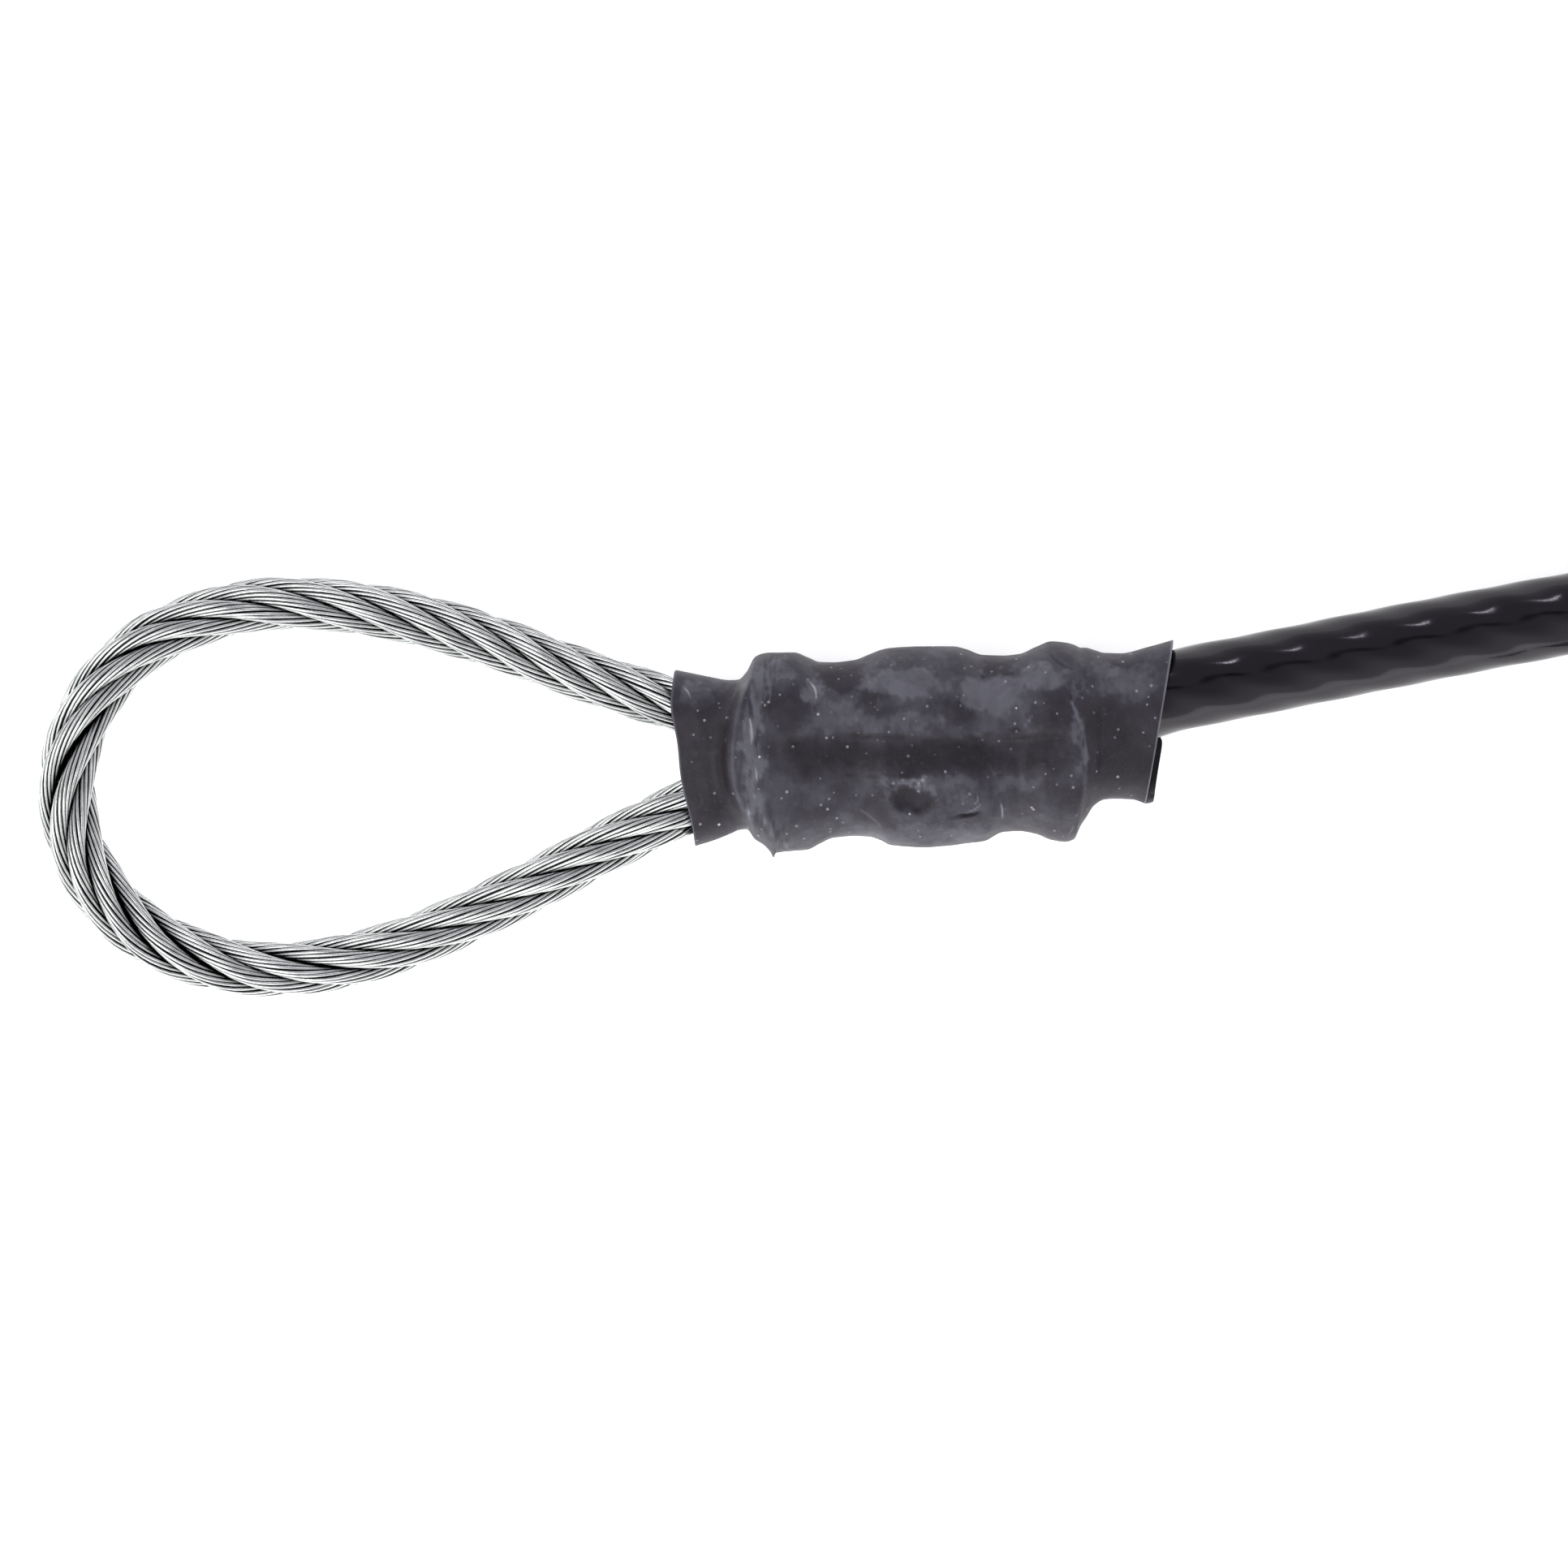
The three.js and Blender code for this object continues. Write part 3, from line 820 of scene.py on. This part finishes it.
def sleeve_wall(inset, along, around):
    """One wall of the sleeve, outer or inner, as rows of points in millimetres."""
    squareness = 3.2
    at = np.linspace(*SLEEVE_ENDS, along)
    top, bottom = smooth_rows(SLEEVE_OUTLINE, at).T
    middle, half = ((top + bottom) / 2)[:, None], ((top - bottom) / 2)[:, None]
    spread, above, below = smooth_rows(SLEEVE_BODY, at).T[:, :, None]
    angle = 2 * math.pi * (np.arange(around) + 0.5) / around
    cosine, sine = np.cos(angle)[None, :], np.sin(angle)[None, :]
    side = np.tanh(squareness * cosine) / math.tanh(squareness)
    across = (half - spread - inset) * cosine + spread * side
    tall = np.where(sine > 0, above, below) - inset
    x = np.broadcast_to(at[:, None], across.shape)
    y = middle + across
    in_flares = sum(flares(x))
    x = x + sleeve_shift(x, y, across, sine)
    z = tall * np.sign(sine) * np.abs(sine) ** 0.9 + np.clip(sine * 6, 0, 1) * sleeve_relief(x, y)
    lumps = noises(x, y, z, (0.085, 0.42), (0.032, 1.25), (0.012, 3.1))
    lumps = lumps * (1 - 0.6 * np.clip(in_flares, 0, 1)) * (0.3 + 0.7 * np.abs(sine))
    return np.stack([x, y + lumps * cosine, z + lumps * sine], axis=-1)


# Scratches and hairs on the sleeve, and a few dark lines of painted shadow along the crease and in the cut,
# in millimetres: middle in X and Y, heading in degrees, half length, bend and how light
SLEEVE_MARKS = [
    (12.3, 5.6, 112, 0.55, 0.5, 1.0),
    (23.25, -1.5, 97, 0.42, 0.2, 1.5),
    (21.8, -0.9, 70, 0.28, 1.5, 1.4),
    (21.3, -0.55, 25, 0.22, 0.6, 1.5),
    (18.2, 0.2, 165, 0.22, 1.0, 1.6),
    (17.9, 0.45, 5, 0.75, -0.5, 0.8),
    (15.6, -1.9, 140, 0.8, 0.1, 0.7),
    (9.6, 4.9, 60, 0.3, 0.4, 1.3),
    (8.6, 3.2, 95, 0.7, 0.1, 0.8),
    (8.9, 0.1, 85, 0.8, 0.1, 0.8),
    (8.4, -1.4, 100, 0.6, 0.1, 0.7),
    (9.3, -2.4, 80, 0.5, 0.1, 0.8),
    (5.7, -1.0, 75, 0.25, 1.2, 1.3),
    (5.2, 1.9, 170, 0.4, 0.4, 0.8),
    (6.4, 1.95, 10, 0.35, 0.4, 0.9),
    (4.9, 5.4, 120, 0.35, 0.6, 1.0),
    (22.6, 0.95, 120, 0.35, 0.8, 0.8),
    (23.0, 0.7, 20, 0.3, 0.8, 0.7),
    (14.6, 1.3, 175, 0.7, 0.1, 0.45),
    (13.3, 0.7, 20, 0.5, 0.2, 0.5),
    (27.3, -2.7, 60, 0.3, 0.5, 0.9),
    (28.0, -2.2, 95, 0.35, 0.2, 0.7),
    (19.9, 2.5, 8, 1.2, 0.1, -0.9),
    # Painted shadow along the crease
    (22.7, 2.93, 9, 1.6, 0.02, -1.8),
    (24.9, 3.9, 52, 0.7, 0.0, 0.8),
    (16.9, 0.50, 1, 3.4, 0.012, -0.8),
    # Painted shadow in the cut
    (21.3, -1.78, 8, 0.6, 0.3, -2.0),
    (21.6, -1.45, 30, 0.5, 0.3, 0.8),
    (25.4, 3.3, 40, 0.7, -0.2, 0.4),
    (18.9, -1.2, 130, 0.14, 0.2, -1.6),
    (26.6, 7.1, 145, 0.8, -0.2, -0.7),
]


def marks_at(x, y):
    total = np.zeros_like(x)
    for mx, my, degrees, half, bend, amount in SLEEVE_MARKS:
        turn = math.radians(degrees)
        run = (x - mx) * math.cos(turn) + (y - my) * math.sin(turn)
        off = (y - my) * math.cos(turn) - (x - mx) * math.sin(turn) - bend * run**2
        total = total + amount * bell(off, 0, 0.055) / (1 + np.exp((np.abs(run) - half) / 0.05))
    return total


def patches_at(x, y, z):
    total = 0
    for px, py, wide, high, amount in SLEEVE_PATCHES:
        reach = ((x - px) / wide) ** 2 + ((y - py) / high) ** 2
        total = total + amount / (1 + np.exp(np.clip(6.5 * (reach - 1.0), -30, 30)))
    return total * np.where(z > 0, 1, 0.3)


def sleeve_wear_and_light(points):
    """How worn the sleeve is at each point, with painted highlights and painted shade added, from -1, dark,
    to 1, light. Marks can go past both.
    """
    x, y, z = points[..., 0], points[..., 1], points[..., 2]
    ragged = ((0.35, 2.6), (0.14, 7))
    warp_x = x + noises(x, y, z, (0.75, 0.9), *ragged)
    warp_y = y + noises(y, x, z + 9, (0.65, 0.9), *ragged)
    facing_up = np.clip(z, 0, 1)
    total = noises(x, y, z, (0.38, 0.55), (0.25, 1.7), (0.16, 5)) + patches_at(warp_x, warp_y, z)

    # Rubbed light over the ferrule's near end, a painted highlight along both ridges, and a painted shadow
    # just outside the near one
    rubbed = 0.25 + noises(x * 3.5, y * 0.6, z, (1.1, 1.3))
    total = total + bell(x, left_ridge(y) + 1.0, 0.75) * np.where(z > 0, 1, 0.4) * rubbed
    total = total + 0.75 * facing_up * bell(x, left_ridge(y) + 0.05, 0.13) * bell(y, 1.5, 4.0)
    total = total - 0.55 * facing_up * bell(x, left_ridge(y) - 0.55, 0.38) * bell(y, 0.5, 4.0)
    total = total + 0.8 * facing_up * bell(x, right_ridge(y), 0.10) * bell(y, 2.0, 3.6)

    # Dark flares at both ends, and painted light on the upper lobe
    total = total - 0.75 * facing_up * step_up(x, right_ridge(y) + 0.3, 0.2) * step_up(-y, -5.0, 0.5)
    total = total - 0.70 * facing_up * step_up(-x, -7.1, 0.25) * step_up(-y, -4.9, 0.4)
    lobe_light = step_up(y, CREASE + 0.3, 0.2) * step_up(x, 11.5, 0.4) * step_up(-x, -27.0, 0.4)
    total = total + 0.16 * facing_up * lobe_light

    # Painted shade in the valley below the crease, and a darker painted shadow line along it
    valley_shade_area = facing_up * step_up(warp_x, 10.6, 0.25) * step_up(-warp_x, -26.8, 0.2)
    below = (crease_line(x) - warp_y * 0.5 - y * 0.5) / 2.4
    total = total - 0.50 * valley_shade_area * step_up(below, 0.05, 0.03) * step_up(-below, -0.93, 0.05)
    line = 1.5 * bell(y, crease_line(x) - 0.10, 0.11) * step_up(x, 13.5, 0.8) * step_up(-x, -25.6, 0.3)
    total = total - facing_up * line * np.clip(0.75 + noises(x, y, z, (1.2, 0.9)), 0, 1.4)

    # Painted shade in the pressed oval, and a painted highlight on its upper rim
    oval = np.sqrt(((warp_x - 18.0) / 1.15) ** 2 + ((warp_y + 0.75) / 0.85) ** 2)
    total = total - 0.8 * facing_up * step_up(-oval, -0.95, 0.07)
    total = total + 0.55 * facing_up * bell(oval, 1.28, 0.16) * (y > -1)
    return np.clip(total, -1, 1) + facing_up * marks_at(x, y)


def sleeve_shape():
    along, inner_along, around = 400, 60, 230
    outer = sleeve_wall(0.0, along, around)
    inner = sleeve_wall(SLEEVE_WALL, inner_along, around)
    count, inner_count = along * around, inner_along * around
    wear_and_light = sleeve_wear_and_light(outer)
    # The cut rims are pale
    wear_and_light[:2] = 0.8
    wear_and_light[-2:] = 1.2
    # The inner wall takes the darkest value: partly its dark lining, partly painted shade
    wear_and_painted_light = np.concatenate([wear_and_light.ravel(), np.full(inner_count, -1.0)])
    inside = np.concatenate([np.zeros(count), np.ones(inner_count)])
    faces, _ = ring_faces(along, around)
    inner_quads, _ = ring_faces(inner_along, around, count)
    faces += [q[::-1] for q in inner_quads]
    faces += rim_faces(around, count - around, count, count + inner_count - around)
    vertices = np.vstack([outer.reshape(-1, 3), inner.reshape(-1, 3)])
    vertices[:, 2] += AXIS_HEIGHT
    return vertices * MM, faces, {"wear_and_painted_light": wear_and_painted_light, "inside": inside}


# Half of the ferrule's outline, in millimetres: how far from its middle, and its radius round each leg
FERRULE_PROFILE = [
    (0.0, 3.5),
    (1.9, 3.5),
    (3.8, 2.95),
    (5.8, 2.95),
    (7.3, 3.48),
    (8.2, 3.45),
    (8.9, 3.15),
    (9.35, 2.72),
    (9.65, 2.32),
]


def ferrule_shape():
    around, rows = 96, 121
    half_length = 9.65
    bore, bell_mouth, mouth_start, mouth_length = 1.74, 0.26, 8.9, 0.75
    at = np.linspace(-half_length, half_length, rows)
    outer = smooth_rows(FERRULE_PROFILE, np.abs(at))[:, 0]
    inner = bore + bell_mouth * np.clip((np.abs(at) - mouth_start) / mouth_length, 0, 1)
    angle = 2 * math.pi * (np.arange(around) + 0.5) / around
    side = np.sign(np.cos(angle)) * LEG_SPREAD
    walls = []
    for radius in (outer, inner):
        y = radius[:, None] * np.cos(angle) + side
        z = radius[:, None] * np.sin(angle)
        walls.append(np.stack([np.broadcast_to(at[:, None], y.shape), y, z], axis=-1).reshape(-1, 3))
    count = len(walls[0])
    quads, _ = ring_faces(rows, around)
    faces = quads + [[a + count for a in q[::-1]] for q in quads]
    faces += rim_faces(around, count - around, count, 2 * count - around)
    turned = np.array(Matrix.Rotation(FERRULE_TILT, 3, "Z"))
    return np.vstack(walls) @ turned.T * MM + np.array(FERRULE_CENTRE), faces


# ---------------------------------------------------------------- ties

def tie(name, degrees):
    """A strap round the bundle, with a square head outside it and the strap's trimmed tail above the head."""
    thick, wide, gap = 1.1 * MM, 3.6 * MM, 0.3 * MM
    corner = CABLE_DIAMETER / 2 + gap
    inside, outside = COIL_INNER_TURN - corner, COIL_OUTER_TURN + corner
    low, high = thick, UPPER_LAYER + corner
    corners = [
        (outside - corner, low + corner, -90),
        (outside - corner, high - corner, 0),
        (inside + corner, high - corner, 90),
        (inside + corner, low + corner, 180),
    ]
    corner_steps = 6
    # The strap's section, in its own thicknesses and widths: how far out, and place across
    section = [(0, -0.5), (0, 0.5), (0.75, 0.5), (1, 0.38), (1, -0.38), (0.75, -0.5)]
    sides = len(section)
    vertices, faces = [], []
    for x, z, start in corners:
        for k in range(corner_steps + 1):
            a = math.radians(start + 90 * k / corner_steps)
            for out, across in section:
                r = corner + out * thick
                vertices.append((x + r * math.cos(a), across * wide, z + r * math.sin(a)))
    rings = len(vertices) // sides
    for k in range(rings):
        here, there = k * sides, (k + 1) % rings * sides
        for j in range(sides):
            nxt = (j + 1) % sides
            faces.append([here + j, here + nxt, there + nxt, there + j])

    head_low, head_high = 2.3 * MM, 7.3 * MM
    head_back, head_front = outside + 0.35 * thick, outside + thick + 3.4 * MM
    add_box(vertices, faces, (head_back, -0.62 * wide, head_low), (head_front, 0.62 * wide, head_high))
    tail_low, tail_high = head_high - 1.0 * MM, head_high + 2.6 * MM
    tail_back, tail_front = outside + 1.5 * MM, outside + 2.6 * MM
    add_box(vertices, faces, (tail_back, -0.42 * wide, tail_low), (tail_front, 0.42 * wide, tail_high))

    turned = Matrix.Rotation(math.radians(degrees), 4, "Z")
    place = Matrix.Translation((COIL_CENTRE.x, COIL_CENTRE.y, 0)) @ turned
    piece = new_piece(name + "_strap", vertices, faces, NYLON, place)
    bevel = piece.modifiers.new("edges", "BEVEL")
    bevel.width = 0.18 * MM
    bevel.segments = 2
    bevel.limit_method = "ANGLE"
    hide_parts(name)
    return piece


def add_box(vertices, faces, low, high):
    start = len(vertices)
    for z in (low[2], high[2]):
        for x, y in ((low[0], low[1]), (high[0], low[1]), (high[0], high[1]), (low[0], high[1])):
            vertices.append((x, y, z))
    for face in ((3, 2, 1, 0), (4, 5, 6, 7), (0, 1, 5, 4), (1, 2, 6, 5), (2, 3, 7, 6), (3, 0, 4, 7)):
        faces.append([start + k for k in face])


# ---------------------------------------------------------------- the two ends

def heading(start, end):
    return math.atan2(end[1] - start[1], end[0] - start[0])


def far_place():
    """Where the far end is: the near end turned on the table and moved until its cable meets the far run."""
    start = Vector(NEAR_ROUTE[0]) * MM
    turn = Matrix.Rotation(heading(FAR_ROUTE[-1], FAR_ROUTE[-2]) - heading(*NEAR_ROUTE[:2]), 4, "Z")
    return Matrix.Translation(Vector(FAR_ROUTE[-1]) * MM - turn @ start) @ turn


def both_ends():
    """The same eye, ferrule and sleeve at the near and the far end. Returns the pieces of the far end."""
    ends = {"": Matrix.Identity(4), "far_": far_place()}
    made = {prefix: [] for prefix in ends}

    def place(node, look, vertices, faces, material, slot, values=None):
        for prefix, turned in ends.items():
            piece = new_piece(prefix + node + look, vertices, faces, material, turned, values)
            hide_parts(prefix + node)
            made[prefix].append(piece)

    for node, vertices, faces, values in rope_eye_shapes():
        place(node, "_wires", vertices, faces, WIRE, "galvanised_wire", values)
    place("crimp_ferrule", "_metal", *ferrule_shape(), FERRULE, "ferrule_metal")
    vertices, faces, values = sleeve_shape()
    place("shrink_sleeve", "_film", vertices, faces, SHRINK, "shrink_plastic", values)
    return made["far_"]


far_pieces = both_ends()
ties = [tie(name, degrees) for name, degrees in TIE_ANGLES.items()]


# ---------------------------------------------------------------- floor, light and world

def floor():
    mesh = bpy.data.meshes.new("floor")
    size = 3.0
    corners = [(-size, -size, 0), (size, -size, 0), (size, size, 0), (-size, size, 0)]
    mesh.from_pydata(corners, [], [[0, 1, 2, 3]])
    mesh.materials.append(table_white())
    made = bpy.data.objects.new("floor", mesh)
    made.location.z = -0.05 * MM
    bpy.context.scene.collection.objects.link(made)


def softbox(name, where, target, size, power, colour=(1, 1, 1)):
    data = bpy.data.lights.new(name, "AREA")
    data.shape = "RECTANGLE"
    data.size, data.size_y = size
    data.energy = power
    data.color = colour
    made = bpy.data.objects.new(name, data)
    made.location = where
    made.rotation_euler = (Vector(target) - Vector(where)).to_track_quat("-Z", "Y").to_euler()
    bpy.context.scene.collection.objects.link(made)


def world():
    """A soft surround: bright towards the near side, dimmer towards the far side and dark straight above."""
    made = bpy.data.worlds.new("studio")
    n = Nodes(made, "Generated")
    parts = n.add("ShaderNodeSeparateXYZ")
    n.link(n.place, parts.inputs["Vector"])
    lean = n.add("ShaderNodeMath", operation="MULTIPLY_ADD")
    lean.inputs[1].default_value = 0.45
    n.link(parts.outputs["Y"], lean.inputs[0])
    n.link(parts.outputs["Z"], lean.inputs[2])
    dim, plum = (0.5643, 0.5586, 0.5814), (0.37, 0.3515, 0.3959)
    sides = n.ramp(lean.outputs["Value"], (0.0, 0.88), (0.33, 0.80), (0.62, dim), (0.9, plum))

    patch = n.add("ShaderNodeMapping", vector_type="TEXTURE")
    patch.inputs["Location"].default_value = (0, 0.12, 0)
    patch.inputs["Rotation"].default_value = (0, 0, math.radians(-33))
    patch.inputs["Scale"].default_value = (0.10, 0.30, 1000)
    n.link(n.place, patch.inputs["Vector"])
    reach = n.add("ShaderNodeVectorMath", operation="LENGTH")
    n.link(patch.outputs["Vector"], reach.inputs[0])
    above = n.ramp(reach.outputs["Value"], (0.5, 0.0), (1.0, 1.0))

    background = n.tree.nodes["Background"]
    n.link(n.mix(1.0, sides, above, "MULTIPLY"), background.inputs["Color"])
    background.inputs["Strength"].default_value = 1.2
    bpy.context.scene.world = made


floor()
# Each light's place, the point it faces, its size and its power
softbox("near_panel", (0.02, -0.60, 0.10), (0.02, 0, 0.10), (1.3, 0.20), 0.9)
softbox("far_strip", (0.05, 0.52, 0.31), (0.05, 0, 0), (0.035, 0.03), 0.10, (0.90, 0.94, 1))
softbox("overhead", (-0.40, -0.10, 0.85), (0, 0, 0), (0.45, 0.45), 2.3)
world()
bpy.context.scene.view_settings.view_transform = "Standard"
